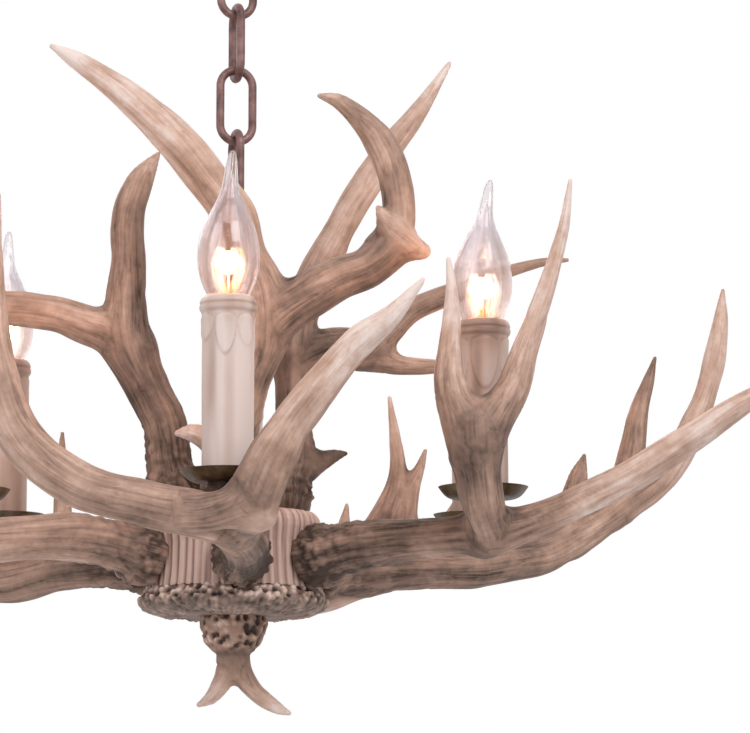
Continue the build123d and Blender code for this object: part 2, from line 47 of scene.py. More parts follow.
HUB_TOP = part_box("hub_drum")[1][2] / MM
CANDLE_AZIMUTHS = [-91.3, -31.3, 26.5, 88.7, 149.0, -158.0]
CANDLE_R = 171.0
BODY = "chandelier"
CORNERS = list(np.ndindex(2, 2, 2))
ASKEW = np.array([0.31, 0.48, 0.82])  # a way that no limb or wire runs in


# ---- numbers that look random
def lattice_value(ix, iy, iz, seed):
    """A repeatable number from 0 to 1 for each point of the whole-number lattice."""
    mixed = (ix * 374761393 + iy * 668265263 + iz * 1440662683 + seed * 97531) & 0xFFFFFFFF
    mixed = ((mixed ^ (mixed >> 13)) * 1274126177) & 0xFFFFFFFF
    mixed = ((mixed ^ (mixed >> 15)) * 668265263) & 0xFFFFFFFF
    return ((mixed ^ (mixed >> 16)) & 0xFFFF) / 65535.0


def from_corners(base, part, value):
    """Each place's value from the eight corners of its cell, by how near it is to them."""
    total = 0.0
    for corner in CORNERS:
        share = np.where(corner, part, 1 - part)
        total = total + share[:, 0] * share[:, 1] * share[:, 2] * value((base + corner).T)
    return total


def noise(points, seed=0):
    """Smooth noise from -1 to 1 at each point, with features one unit across."""
    base = np.floor(points).astype(np.int64)
    part = points - base
    part = part * part * part * (part * (part * 6 - 15) + 10)
    return from_corners(base, part, lambda at: lattice_value(*at, seed)) * 2 - 1


def fractal(points, octaves, seed=0):
    """Noise with finer noise added, still about -1 to 1."""
    total, weight, size = 0.0, 1.0, 0.0
    for octave in range(octaves):
        total = total + weight * noise(points * 2 ** octave, seed + octave * 17)
        size += weight
        weight *= 0.5
    return total / size * 1.4


def cells(points, seed=0):
    """Distance to the nearest of one scattered point per unit cube."""
    base = np.floor(points).astype(np.int64)
    best = np.full(len(points), 9.0)
    for neighbour in np.ndindex(3, 3, 3):
        cube = base + neighbour - 1
        spot = np.stack([lattice_value(*cube.T, seed + axis) for axis in (1, 2, 3)], 1)
        best = np.minimum(best, np.linalg.norm(points - cube - spot, axis=1))
    return best


def step(values, low, high):
    """0 below low, 1 above high, smooth between."""
    part = np.clip((values - low) / (high - low), 0, 1)
    return part * part * (3 - 2 * part)


def unit(vectors):
    """The same ways with length one."""
    return vectors / np.maximum(np.linalg.norm(vectors, axis=1), 1e-6)[:, None]


# ---- meshes
def place_object(name, data, spot=(0, 0, 0)):
    """An object in the scene, at a spot in metres."""
    item = bpy.data.objects.new(name, data)
    item.location = spot
    bpy.context.scene.collection.objects.link(item)
    return item


def make_mesh(name, vertices, faces):
    """An object from vertices in the row's millimetres."""
    mesh = bpy.data.meshes.new(name)
    mesh.from_pydata((np.asarray(vertices) * MM).tolist(), [], [list(f) for f in faces])
    mesh.validate()
    mesh.update()
    mesh.shade_smooth()
    return place_object(name, mesh)


def add_attribute(piece, name, values):
    """A number for each vertex, which a material can read by name."""
    layer = piece.data.attributes.new(name, "FLOAT", "POINT")
    layer.data.foreach_set("value", np.asarray(values, dtype=np.float32))


def cross_ways(tangents):
    """Two ways across a line at each of its tangents, without twist from one to the next."""
    side, sides = ASKEW, []
    for tangent in tangents:
        side = side - tangent * side.dot(tangent)
        side = side / np.linalg.norm(side)
        sides.append(side)
    return np.array(sides), np.cross(tangents, sides)


# ---- antlers
VOXEL = 1.35
REACH = 9.0  # how far from a branch its distances are worked out
FAR = REACH + 6.0  # the distance written where nothing is near
BLEND = 9.0  # width of the fillet where branches join
KNOB_BLEND = 4.0  # the same in the finial
SHARE_WIDTH = 2.2  # over this distance one branch's grain and relief give way to another's
SHORT = 35.0  # a limb shorter than this is a smooth boss
SAMPLE = 3.0  # spacing of the points along a centreline
THINNEST = 0.6
HOLLOW = 7.0  # how far out from the skin its crevices are felt for, to paint shade into them
# How much painted shade darkens the tone deep in the crevices between limbs
CREVICE_PAINTED_SHADE = 0.38
CRACK_DEPTH = 0.6
CRACK_DARK = 0.14
COLLAR_SWELL = 0.16  # how far the burr collar stands out, as a share of the radius
PEDESTAL_TONES = (0.12, 0.2)


def between(t, start, end, a, b):
    """a at start and b at end, in even steps."""
    return (end - t) / (end - start) * a + (t - start) / (end - start) * b


def nodes_from(point, low, first, last):
    """Where the grid's nodes from first to last lie, seen from a point."""
    axes = [low[a] + VOXEL * np.arange(first[a], last[a]) - point[a] for a in range(3)]
    return np.meshgrid(*axes, indexing="ij", sparse=True)


class Branch:
    """A tapering limb through stations of (x, y, height, radius)."""

    def __init__(self, stations, main, sunk=0.0, swell=0.0):
        line = np.array(stations, dtype=float)
        line[:, 2] += HUB_TOP
        self.main = main
        self.sunk = sunk  # how far its flat end lies before the first station
        chord = np.sqrt(np.linalg.norm(np.diff(line[:, :3], axis=0), axis=1))
        knots = np.concatenate([[0], np.cumsum(chord)])
        ends = np.vstack([2 * line[0] - line[1], line, 2 * line[-1] - line[-2]])
        around = np.concatenate([[-chord[0]], knots, [knots[-1] + chord[-1]]])
        samples = []
        for i in range(1, len(ends) - 2):
            p0, p1, p2, p3 = ends[i - 1:i + 3]
            t0, t1, t2, t3 = around[i - 1:i + 3]
            length = np.linalg.norm(p2[:3] - p1[:3])
            count = max(2, int(length / SAMPLE))
            for t in np.linspace(t1, t2, count, endpoint=False):
                a1 = between(t, t0, t1, p0, p1)
                a2 = between(t, t1, t2, p1, p2)
                a3 = between(t, t2, t3, p2, p3)
                b1 = between(t, t0, t2, a1, a2)
                b2 = between(t, t1, t3, a2, a3)
                samples.append(between(t, t1, t2, b1, b2))
        samples.append(ends[-2])
        samples = np.array(samples)
        self.line = samples[:, :3]
        self.radius = np.maximum(samples[:, 3], THINNEST)
        run = np.diff(self.line, axis=0)
        lengths = np.linalg.norm(run, axis=1)
        self.along = np.concatenate([[0], np.cumsum(lengths)])
        self.length = self.along[-1]
        if main:
            collar = step(self.along, -4, 2) * (1 - step(self.along, 8, 16))
            self.radius = self.radius * (1 + swell * collar)
        self.tangent = run / lengths[:, None]
        self.side, self.other = cross_ways(self.tangent)

    def measure(self, points):
        """For each point: distance to the skin, place along, turn round the line, outward way."""
        distance, nearest = np.full((2, len(points)), 1e3)
        segment = np.zeros(len(points), dtype=int)
        share = np.zeros(len(points))
        for i, start in enumerate(self.line[:-1]):
            run = self.line[i + 1] - start
            t = np.clip((points - start) @ run / run.dot(run), 0, 1)
            gap = np.linalg.norm(points - start - t[:, None] * run, axis=1)
            skin = gap - (self.radius[i] + t * (self.radius[i + 1] - self.radius[i]))
            distance = np.minimum(distance, skin)
            closer = gap < nearest
            nearest[closer] = gap[closer]
            segment[closer] = i
            share[closer] = t[closer]
        foot = self.line[segment] + share[:, None] * (self.line[segment + 1] - self.line[segment])
        out = points - foot
        turn = np.arctan2((out * self.other[segment]).sum(1), (out * self.side[segment]).sum(1))
        place = self.along[segment] + share * (self.along[segment + 1] - self.along[segment])
        out = unit(out)
        if self.main:
            before = (self.line[0] - points) @ self.tangent[0] - self.sunk
            flat = before > distance
            distance = np.where(flat, before, distance)
            out = np.where(flat[:, None], -self.tangent[0], out)
            place = np.where(flat, -1.0, place)
        return distance, place, turn, out

    def fill(self, field, low):
        """Write the distances to this branch into the grid round it."""
        for i, start in enumerate(self.line[:-1]):
            end = self.line[i + 1]
            wide = max(self.radius[i], self.radius[i + 1]) + REACH
            first = np.maximum(((np.minimum(start, end) - wide - low) / VOXEL).astype(int), 0)
            last = ((np.maximum(start, end) + wide - low) / VOXEL).astype(int) + 2
            last = np.minimum(last, field.shape)
            x, y, z = nodes_from(start, low, first, last)
            run = end - start
            t = np.clip((x * run[0] + y * run[1] + z * run[2]) / run.dot(run), 0, 1)
            gap = np.sqrt((x - t * run[0]) ** 2 + (y - t * run[1]) ** 2 + (z - t * run[2]) ** 2)
            skin = gap - (self.radius[i] + t * (self.radius[i + 1] - self.radius[i]))
            part = field[first[0]:last[0], first[1]:last[1], first[2]:last[2]]
            np.minimum(part, skin, out=part)
        if self.main:
            x, y, z = nodes_from(self.line[0], low, (0, 0, 0), field.shape)
            way = self.tangent[0]
            np.maximum(field, -(x * way[0] + y * way[1] + z * way[2]) - self.sunk, out=field)


def soft_min(a, b, width):
    """The smaller of two distances, rounded where they are near each other."""
    near = np.maximum(width - np.abs(a - b), 0) / width
    return np.minimum(a, b) - near * near * width * 0.25


def surface(field, low):
    """Vertices and quads of the field's zero surface, one vertex in each cell it crosses."""
    inside = field < 0
    nx, ny, nz = np.array(field.shape) - 1
    count = sum(inside[i:nx + i, j:ny + j, k:nz + k].astype(np.int8) for i, j, k in CORNERS)
    cell = np.argwhere((count > 0) & (count < 8))
    number = np.full(count.shape, -1, dtype=np.int64)
    number[tuple(cell.T)] = np.arange(len(cell))
    total = np.zeros((len(cell), 3))
    crossings = np.zeros(len(cell))
    for a in CORNERS:
        for axis in range(3):
            if a[axis]:
                continue
            b = list(a)
            b[axis] = 1
            fa = field[tuple((cell + a).T)]
            fb = field[tuple((cell + b).T)]
            cross = (fa < 0) != (fb < 0)
            t = np.where(cross, fa / np.where(cross, fa - fb, 1), 0)
            spot = np.array(a, dtype=float) + t[:, None] * (np.array(b) - a)
            total += spot * cross[:, None]
            crossings += cross
    vertices = low + VOXEL * (cell + total / crossings[:, None])
    faces = []
    for axis in range(3):
        u, v = (axis + 1) % 3, (axis + 2) % 3
        ahead = np.take(inside, range(1, inside.shape[axis]), axis)
        behind = np.take(inside, range(0, inside.shape[axis] - 1), axis)
        for leaving in (True, False):
            edge = np.argwhere((behind & ~ahead) if leaving else (~behind & ahead))
            quad = []
            for du, dv in ((-1, -1), (0, -1), (0, 0), (-1, 0)):
                spot = edge.copy()
                spot[:, u] += du
                spot[:, v] += dv
                quad.append(number[tuple(spot.T)])
            faces.append(np.stack(quad if leaving else quad[::-1], 1))
    return vertices, np.concatenate(faces)


def field_at(points, branches, blend):
    """The joined skin at points: distance, outward way and each branch's share and measures."""
    measures = [branch.measure(points) for branch in branches]
    joined = measures[0][0]
    for other in measures[1:]:
        joined = soft_min(joined, other[0], blend)
    gaps = np.stack([m[0] for m in measures])
    share = np.exp(-(gaps - gaps.min(0)) / SHARE_WIDTH)
    share /= share.sum(0)
    out = unit(sum(s[:, None] * m[3] for s, m in zip(share, measures)))
    return joined, out, share, measures


def read_grid(field, low, points):
    """The grid's value at each point, between its nodes."""
    spot = (points - low) / VOXEL
    base = np.clip(np.floor(spot).astype(int), 0, np.array(field.shape) - 2)
    part = np.clip(spot - base, 0, 1)
    return from_corners(base, part, lambda at: field[tuple(at)])


def antler(name, limbs, tones, seed, extra=(), sunk=0.0, pitted=False):
    """One antler: its skin, ridges, pearls and burr.

    tones gives each limb's tones from its start to its tip. The mesh keeps the tone, the place
    along the grain, and how near a joint of limbs each point is.
    """
    blend = KNOB_BLEND if pitted else BLEND
    branches = [Branch(stations, i == 0, sunk, 0.0 if pitted else COLLAR_SWELL)
                for i, stations in enumerate(limbs)]
    branches += [Branch(stations, False) for stations in extra]
    tones = list(tones) + [PEDESTAL_TONES] * len(extra)
    low = np.min([(b.line - b.radius[:, None]).min(0) for b in branches], axis=0) - 3 * VOXEL - 2
    high = np.max([(b.line + b.radius[:, None]).max(0) for b in branches], axis=0) + 3 * VOXEL + 2
    shape = np.ceil((high - low) / VOXEL).astype(int) + 1
    joined = None
    for branch in branches:
        field = np.full(shape, FAR, dtype=np.float32)
        branch.fill(field, low)
        joined = field if joined is None else soft_min(joined, field, blend)
    points, faces = surface(joined, low)
    for _ in range(2):
        distance, out = field_at(points, branches, blend)[:2]
        points = points - out * distance[:, None]
    _, out, share, measures = field_at(points, branches, blend)
    # How enclosed the skin is just outside each point, which sets the painted shade in crevices
    crevice_shade = 1 - np.clip(read_grid(joined, low, points + HOLLOW * out) / HOLLOW, 0, 1)
    bent = points + 5 * np.stack([noise(points / 9, seed + 41 + k) for k in range(3)], 1)
    cracks = 1 - step(np.abs(noise(bent / (8, 8, 15), seed + 5)), 0.0, 0.3)
    lift = np.zeros(len(points))
    tone = np.zeros(len(points))
    grain = np.zeros((len(points), 3))
    plain = 0.0
    foremost = share.argmax(0)
    for number, (branch, part, (_, place, turn, _)) in enumerate(zip(branches, share, measures)):
        radius = np.interp(place, branch.along, branch.radius)
        ring = np.stack([np.cos(turn) * radius, np.sin(turn) * radius, place], 1)
        own = seed + 31 * number
        fade = step(branch.length - place, 8, 70)
        coarse = noise(ring / (8.5, 8.5, 90), own)
        ridges = noise(ring / (4.3, 4.3, 55), own + 3)
        grooves = step(1 - np.abs(ridges) * 2, 0.45, 0.95)
        lumps = fractal(ring / (17, 17, 26), 2, own + 7)
        up = (0.65 * coarse + 0.25 * ridges - 0.4 * grooves) * (0.25 + 0.75 * fade)
        up = up + 0.9 * lumps * np.minimum(radius / 12, 1)
        levels = tones[number]
        shade = np.interp(place / branch.length, np.linspace(0, 1, len(levels)), levels)
        shade = shade + 0.1 * coarse - 0.11 * grooves * fade + 0.13 * lumps
        if branch.main and pitted:
            knob = 1 - step(place, 15, 25)
            holes = step(cells(points / 4.9, own + 9), 0.54, 0.26)
            knobs = step(cells(points / 4.6, own + 21), 0.6, 0.15)
            up = up * 0.4 + knob * (0.7 * knobs - 2.4 * holes)
            shade = shade + knob * (0.4 * knobs - 0.7 * holes)
            plain = knob
        elif branch.main:
            butt = 1 - step(place, 12, 75)
            pearls = step(cells(ring / (4.6, 4.6, 5.5), own + 9), 0.75, 0.2)
            up = up + 1.7 * butt * (pearls - 0.3)
            collar = step(place, 0, 3) * (1 - step(place, 9, 15))
            knobs = step(cells(ring / (5.2, 5.2, 6.0), own + 11), 0.8, 0.15)
            up = up + collar * (2.6 * knobs - 0.8)
            shade = shade - 0.05 * butt + 0.12 * butt * (pearls - 0.4) - 0.12 * collar
            shade = shade + 0.25 * collar * (knobs - 0.3)
        nearest = foremost == number
        if branch.length < SHORT:
            plain = np.where(nearest, 1.0, plain)
        lift += part * np.where(place < 0, 0, up)
        tone += part * shade
        grain[nearest] = ring[nearest] + number * 200.0
    joint = np.maximum(1 - step(np.sort(share, axis=0)[-1], 0.5, 0.9), plain)
    cracks = cracks * joint * (1 - plain)
    points = points + out * (lift - CRACK_DEPTH * cracks)[:, None]
    piece = make_mesh(name, points, faces)
    # Painted shade in the crevices between limbs, and the darker cracks
    tone = tone - CREVICE_PAINTED_SHADE * step(crevice_shade, 0.04, 0.8) - CRACK_DARK * cracks
    add_attribute(piece, "tone", tone)
    add_attribute(piece, "joint", joint)
    layer = piece.data.attributes.new("grain", "FLOAT_VECTOR", "POINT")
    layer.data.foreach_set("vector", grain.astype(np.float32).ravel())
    return piece


# ---- the antlers' branches
# (x, y, height above the hub's top, radius). The first branch of each starts at its butt.
ARMS, UPRIGHTS = {}, {}
ARMS["front"] = [
    [(4, -54, -38.5, 14.8), (7, -95, -39.5, 13.5), (5, -132, -35, 14), (-6, -162, -29, 13.8),
     (-27, -183, -27, 13.2), (-52, -191, -22.5, 13.4), (-85, -190, -13, 13),
     (-118, -184, 14, 13), (-134, -176, 54, 12.3), (-139, -168, 104, 9), (-136, -160, 156, 2.2)],
    [(2, -156, -31, 12), (8, -181, -26, 13.4), (13.5, -204.5, -15, 12.8), (21, -211, 2, 12.6),
     (32, -213, 20, 11.3), (49, -217, 42, 10.5), (68, -222, 64, 8.7), (85, -227, 77, 6),
     (103, -231, 97, 1.4)],
    [(8, -184, -28, 9), (14, -201, -30.5, 9)],
    [(-44, -188, -25, 8), (-16, -194.5, -28, 10.8), (2, -201, -23, 10.5), (15, -207, -10, 11),
     (22, -211, 4, 10.5)],
]
ARMS["front_right"] = [
    [(46.5, -28.3, -39, 16), (78, -47, -33, 14.5), (112, -67, -30, 12.3), (139, -84, -29, 12.2),
     (166, -102, -26, 11.5), (186, -112, -19, 9.6), (206, -118, -10, 9.8), (229, -126, 1, 9.2),
     (266, -140, 24, 8.7), (294, -150, 42, 6.5), (326, -158, 60, 1.6)],
    [(150, -96, -28, 11), (142, -127, -10, 13), (139, -136, 8, 14), (138, -139, 24, 15)],
    [(137, -138, 15, 12), (129, -139, 36, 12), (123.5, -140, 52, 9.6), (123.5, -141, 73, 6.8),
     (124.5, -142, 94, 4.8), (124, -143, 111, 2.8), (122.6, -143, 124, 1.3)],
    [(139, -138, 15, 12), (149, -139, 33, 12.3), (159, -139, 49, 10.2), (166, -140, 70, 7.8),
     (172, -141, 87, 6.4), (179, -142, 107, 5.2), (185, -143, 127, 4.3), (189.5, -145, 145, 3.4),
     (193, -147, 170, 1.3)],
]
ARMS["back_right"] = [
    [(47.3, 26, -40, 16), (64, 35, -40.5, 15.4), (85, 46, -39.5, 15), (120, 62, -37, 13.5),
     (152, 78, -35.5, 13.3), (178, 95, -29.5, 13.6), (197, 108, -24.5, 13.8),
     (216, 121, -14.5, 13.2), (235, 130, -3, 12), (254, 138, 11, 11.3), (273, 144, 24, 11),
     (289, 148, 41, 10), (303, 150, 65, 9), (312, 152, 86, 7.6), (319, 153, 112, 7),
     (323, 154, 134, 5.2), (325, 154, 156.5, 1.4)],
    [(250, 137, 8, 10.5), (256.5, 140, 27, 9.6), (261.5, 141, 46, 8.4), (266.5, 142, 73.5, 6.2),
     (273, 142, 94, 4), (277.5, 142, 109, 1.4)],
    [(217, 122, -14, 9), (219, 121, 5, 9), (223, 120, 25, 7), (227.5, 119, 41, 1.4)],
    [(88, 46, -44, 10), (76, 50, -50, 8.2), (59, 54, -57.7, 7.5), (38, 58, -64, 5),
     (26, 60, -69.5, 1.6)],
]
ARMS["back"] = [
    [(1, 54, -40, 16), (2, 100, -46, 15), (5, 145, -46, 14), (20, 182, -38, 13.5),
     (50, 203, -26, 13), (85, 213, -16, 12.5), (118, 216, -7, 11.5), (140, 214, -2, 10),
     (155, 211, 14, 9.5), (163, 206, 40, 8), (165, 201, 68, 6.5), (163, 197, 96, 4.5),
     (160, 194, 119, 1.5)],
    [(90, 214, -12, 11), (101, 215, 8, 10), (108.5, 215, 28, 7.2), (110.5, 215, 45, 5.6),
     (109, 215, 62, 4.2), (105, 213, 91, 1.2)],
    [(116, 216, -4, 9), (117.5, 216, 8, 6.3), (121, 216, 30, 4.8), (126, 216, 44, 3.4),
     (129.5, 216, 55.5, 1.2)],
    [(70, 209, -22, 9), (73, 208, -4, 5.5), (76, 208, 17, 1.2)],
]
ARMS["back_left"] = [
    [(-46.7, 28, -39, 16), (-76, 46, -38, 14.3), (-104, 62, -39, 13), (-139, 83, -45.5, 13.4),
     (-162, 97, -42.5, 13), (-187, 109, -33, 12), (-218, 122, -14, 11.5), (-246, 132, 14, 10.5),
     (-267, 138, 48, 9), (-280, 140, 84, 6.5), (-286, 139, 118, 1.3)],
    [(-105, 64, -38, 9), (-107, 68, -18, 7.3), (-108.6, 75, 5, 5.3), (-109.3, 80, 27, 4),
     (-109.6, 84, 50, 1.1)],
    [(-240, 130, 8, 9), (-256, 124, 36, 7.5), (-270, 120, 62, 5), (-282, 118, 92, 1.2)],
]
ARMS["front_left"] = [
    [(-50, -21, -38, 16), (-74, -32, -31, 14.5), (-95, -41, -28, 14), (-123, -51, -29.5, 13.2),
     (-158, -64, -32, 13), (-190, -77, -25, 12.3), (-222, -90, -8, 11.8), (-250, -100, 16, 10.8),
     (-271, -106, 48, 9), (-284, -108, 86, 6.3), (-290, -107, 120, 1.3)],
    [(-168, -72, -28, 11), (-176, -100, -8, 12), (-178, -109, 12, 12.5), (-180, -113, 30, 12)],
    [(-181, -112, 22, 10), (-190, -116, 50, 8.5), (-198, -120, 80, 6), (-204, -123, 110, 4),
     (-207, -124, 140, 1.2)],
    [(-179, -112, 22, 10), (-169, -112, 50, 8), (-163, -113, 75, 5.5), (-160, -115, 100, 3),
     (-159, -116, 118, 1.1)],
]
UPRIGHTS["front"] = [
    [(0, -33, 0, 16), (0, -39, 31, 13.5), (7, -44, 63, 13.5), (15, -48, 90, 15.5),
     (14, -51, 118, 16), (5, -54, 143, 13.6), (-1, -57, 164.5, 13.4), (-15, -60, 184, 12.3),
     (-32, -63, 205.5, 12), (-55.5, -69, 227, 10.2), (-78.5, -72, 244.5, 8),
     (-96, -74, 255.5, 5.2), (-110.5, -76, 263.5, 1.6)],
    [(14, -48, 92, 13), (28, -51, 106, 14.5), (44, -53, 117, 14.3), (62.5, -55, 127, 12.9),
     (80, -56, 134, 12.3), (92, -57, 145, 11.5), (98, -57, 160, 10), (98, -57, 176.5, 9.8),
     (93.5, -56, 197, 9.9), (86.5, -55, 211.5, 9.4), (78.5, -54, 222, 7.9), (70.5, -53, 230, 6.4),
     (61, -52, 237.2, 4.6), (50.5, -50, 240.5, 1.6)],
    [(88, -57, 146, 9), (102, -59, 145, 6.5), (112, -61, 143.2, 3)],
    [(112, -61, 143.5, 2.6), (103, -65, 149, 5.4), (95, -67, 155, 6), (89, -67, 161.5, 4.4),
     (85.3, -66, 168.5, 1.4)],
    [(-3, -36, 21, 8), (-16, -40, 31, 6.8), (-26, -42, 35, 5), (-34, -42, 34.5, 2)],
]
UPRIGHTS["right"] = [
    [(33, 19, 0, 13), (34, 21.5, 11, 11.6), (36.5, 24, 22, 12.2), (37, 28, 50, 11.6),
     (36, 32, 80, 11.2), (37, 35, 106, 11.6), (44, 39, 131, 12), (55, 43, 153.5, 11.7),
     (64, 44, 172, 10.4), (73, 46, 189.5, 9.8), (86.5, 48, 211.5, 9.6), (100.5, 50, 233, 8.2),
     (112, 52, 248, 6.8), (122, 53, 263, 5), (136.2, 55, 286, 1.4)],
    [(36, 32, 86, 9.5), (50, 36, 96, 11), (64, 41, 99, 12.5), (82, 46, 100, 13),
     (96.5, 48, 111, 9.6), (110.4, 49, 123.5, 7.4), (129.3, 50, 132.5, 6.9),
     (151.4, 50, 141.5, 5.3), (172, 50, 150, 4.1), (198, 50, 157, 2.8), (211, 50, 158, 1.3)],
    [(82, 46, 97, 10), (101, 48, 90, 7), (128, 49, 89, 4.3), (147, 49, 91.5, 1.2)],
    [(40, 24, 20, 8), (52, 26, 25, 6.5), (62, 27, 29.5, 4.3), (69, 28, 31, 1.6)],
]
UPRIGHTS["left"] = [
    [(-35, 14, 0, 16), (-40, 14, 22, 13.8), (-43, 13, 46, 13.2), (-54.6, 12, 70, 13.4),
     (-66, 11, 96, 15), (-67, 10, 122, 13), (-66.3, 10, 150, 10.8), (-67, 10, 169.5, 10.6),
     (-65.6, 10, 183, 10), (-62, 10, 193, 9), (-58, 10, 201.5, 7.2), (-52.6, 10, 210, 4.2),
     (-48.3, 10, 216.5, 1.3)],
    [(-62, 11, 92, 12.5), (-76, 12, 102, 13), (-91.3, 12, 108, 12.2), (-107.5, 12, 114, 11.2),
     (-127, 12, 117.5, 11.2), (-146, 13, 119, 11), (-165, 16, 125, 9.8), (-184, 18, 139, 8),
     (-196, 20, 160, 6), (-202, 22, 184, 3.6), (-204, 22, 204, 1.2)],
    [(-150, 13, 118, 8), (-170, 2, 114, 5.5), (-190, -5, 116, 1.2)],
]
# Each branch's tones from its start to its tip, from 0, dark, to 1, bleached. The dark tones at
# butts and feet are partly the antler's own colour and partly painted shade, most of all at the
# front arm's butt, which sits in shadow under its beam.
ARM_TONES = {
    "front": [(0.0, 0.02, 0.42, 0.55, 0.55, 0.58, 0.62, 0.66, 0.72, 0.78),
              (0.32, 0.27, 0.7, 0.88, 0.94), (0.5, 0.66), (0.6, 0.5, 0.42, 0.36, 0.4)],
    "front_right": [(0.27, 0.23, 0.48, 0.78, 0.88, 0.68), (0.46, 0.4, 0.3),
                    (0.32, 0.66, 0.88, 1.0), (0.32, 0.66, 0.88, 1.0)],
    "back_right": [(0.18, 0.32, 0.5, 0.72, 0.8), (0.48, 0.5), (0.45, 0.5), (0.62, 0.75)],
    "back": [(0.25, 0.7), (0.3, 0.85), (0.4, 0.75), (0.4, 0.6)],
    "back_left": [(0.22, 0.75), (0.4, 0.7), (0.4, 0.85)],
    "front_left": [(0.2, 0.6, 0.68, 0.78, 0.9), (0.5, 0.6), (0.55, 0.95), (0.55, 0.9)],
}
UPRIGHT_TONES = {
    "front": [(0.3, 0.44, 0.62, 0.8, 0.95), (0.36, 0.36, 0.34, 0.42, 0.64), (0.4, 0.45),
              (0.75, 0.7), (0.5, 0.75)],
    "right": [(0.18, 0.44, 0.72, 0.86), (0.3, 0.62), (0.5, 0.6), (0.3, 0.25)],
    "left": [(0.14, 0.34, 0.6), (0.5, 0.72), (0.5, 0.65)],
}
DRUM_FOOT = -56.0
RING_FOOT = -72.5
FINIAL = [[(x, y, RING_FOOT - down, radius) for x, y, down, radius in limb] for limb in (
    [(0, 0, 0, 20.6), (0, 0, 5.5, 19.9), (0, 0, 13, 12.5), (0, 0, 22, 9.8), (0, 0, 31, 8.6)],
    [(0, 0, 26, 8), (-4, -1, 35, 6.6), (-8.5, -2, 43, 5.4), (-13.5, -2.5, 49.5, 4),
     (-20.5, -3, 53.5, 1.5)],
    [(0, 0, 26, 8), (5.5, 0, 35, 7), (12, -1, 44, 5.8), (20, -2, 51, 5), (28, -3, 56, 3.4),
     (34, -3, 58.5, 1.5)],
)]
FINIAL_TONES = [(0.5, 0.44, 0.34), (0.4, 0.75, 0.85), (0.34, 0.6, 0.85)]


# ---- turned pieces and wires
CLOSEST = 0.05  # points of an outline nearer than this become one
WIRE_SIDES = 8


def spots(turn, radius, height):
    """Points at turns round the axis, radii and heights."""
    return np.stack([radius * np.cos(turn), radius * np.sin(turn), height], 1)


def spun(name, outline, around, spacing, shape, centre=(0.0, 0.0)):
    """A piece turned from a closed outline of (radius, height above the hub's top).

    The outline goes up its outer side. shape(turn, radius, height) gives how far each point
    stands out of it, and its tone.
    """
    line = np.array(outline + outline[:1], dtype=float)
    run = np.concatenate([[0], np.cumsum(np.linalg.norm(np.diff(line, axis=0), axis=1))])
    at = np.concatenate([np.linspace(0, run[-1], int(run[-1] / spacing)), run])
    at = np.unique(np.round(at, 3))
    at = at[np.concatenate([[True], np.diff(at) > CLOSEST])][:-1]
    radius, height = np.interp(at, run, line[:, 0]), np.interp(at, run, line[:, 1])
    way = unit(np.stack([np.roll(radius, -1) - np.roll(radius, 1),
                         np.roll(height, -1) - np.roll(height, 1)], 1))
    turn = np.tile(np.arange(around) * 2 * pi / around, len(at))
    radius, height, across, up = np.repeat([radius, height, *way.T], around, axis=1)
    lift, tone = shape(turn, radius, height)
    radius, height = radius + lift * up, height - lift * across
    points = spots(turn, radius, height) + (*centre, HUB_TOP)
    index = np.arange(len(turn)).reshape(-1, around)
    on_axis = np.abs(radius.reshape(index.shape)).max(1) < 1e-6
    index[on_axis] = index[on_axis, :1]
    used, index = np.unique(index, return_inverse=True)
    index = index.reshape(-1, around)
    faces = []
    for low, high in zip(index, np.roll(index, -1, axis=0)):
        for corners in zip(low, np.roll(low, -1), np.roll(high, -1), high):
            face = list(dict.fromkeys(corners))
            if len(face) > 2:
                faces.append(face)
    piece = make_mesh(name, points[used], faces)
    add_attribute(piece, "tone", tone[used])
    return piece


def wire(name, path, radius):
    """A round wire along points in the row's millimetres, with closed ends."""
    path = np.array(path, dtype=float)
    rings = []
    for point, side, other in zip(path, *cross_ways(unit(np.gradient(path, axis=0)))):
        for j in range(WIRE_SIDES):
            angle = 2 * pi * j / WIRE_SIDES
            rings.append(point + radius * (cos(angle) * side + sin(angle) * other))
    faces = []
    for i in range(0, len(rings) - WIRE_SIDES, WIRE_SIDES):
        for j in range(WIRE_SIDES):
            k = (j + 1) % WIRE_SIDES
            faces.append((i + j, i + k, i + WIRE_SIDES + k, i + WIRE_SIDES + j))
    faces.append(tuple(reversed(range(WIRE_SIDES))))
    faces.append(tuple(range(len(rings) - WIRE_SIDES, len(rings))))
    return make_mesh(name, rings, faces)


# ---- materials
GLASS_PAINTED_GLOW = 0.035  # painted glow of the glass where the filament's light falls on it most
GLASS_CLEAR = 0.4  # share of the glass that doesn't bend what is seen through it
METAL_DULL = 0.72


def linear(red, green, blue):
    """A screen colour out of 255 as the shader's linear colour."""
    channels = []
    for value in (red, green, blue):
        v = value / 255
        channels.append(v / 12.92 if v <= 0.04045 else ((v + 0.055) / 1.055) ** 2.4)
    return (*channels, 1.0)


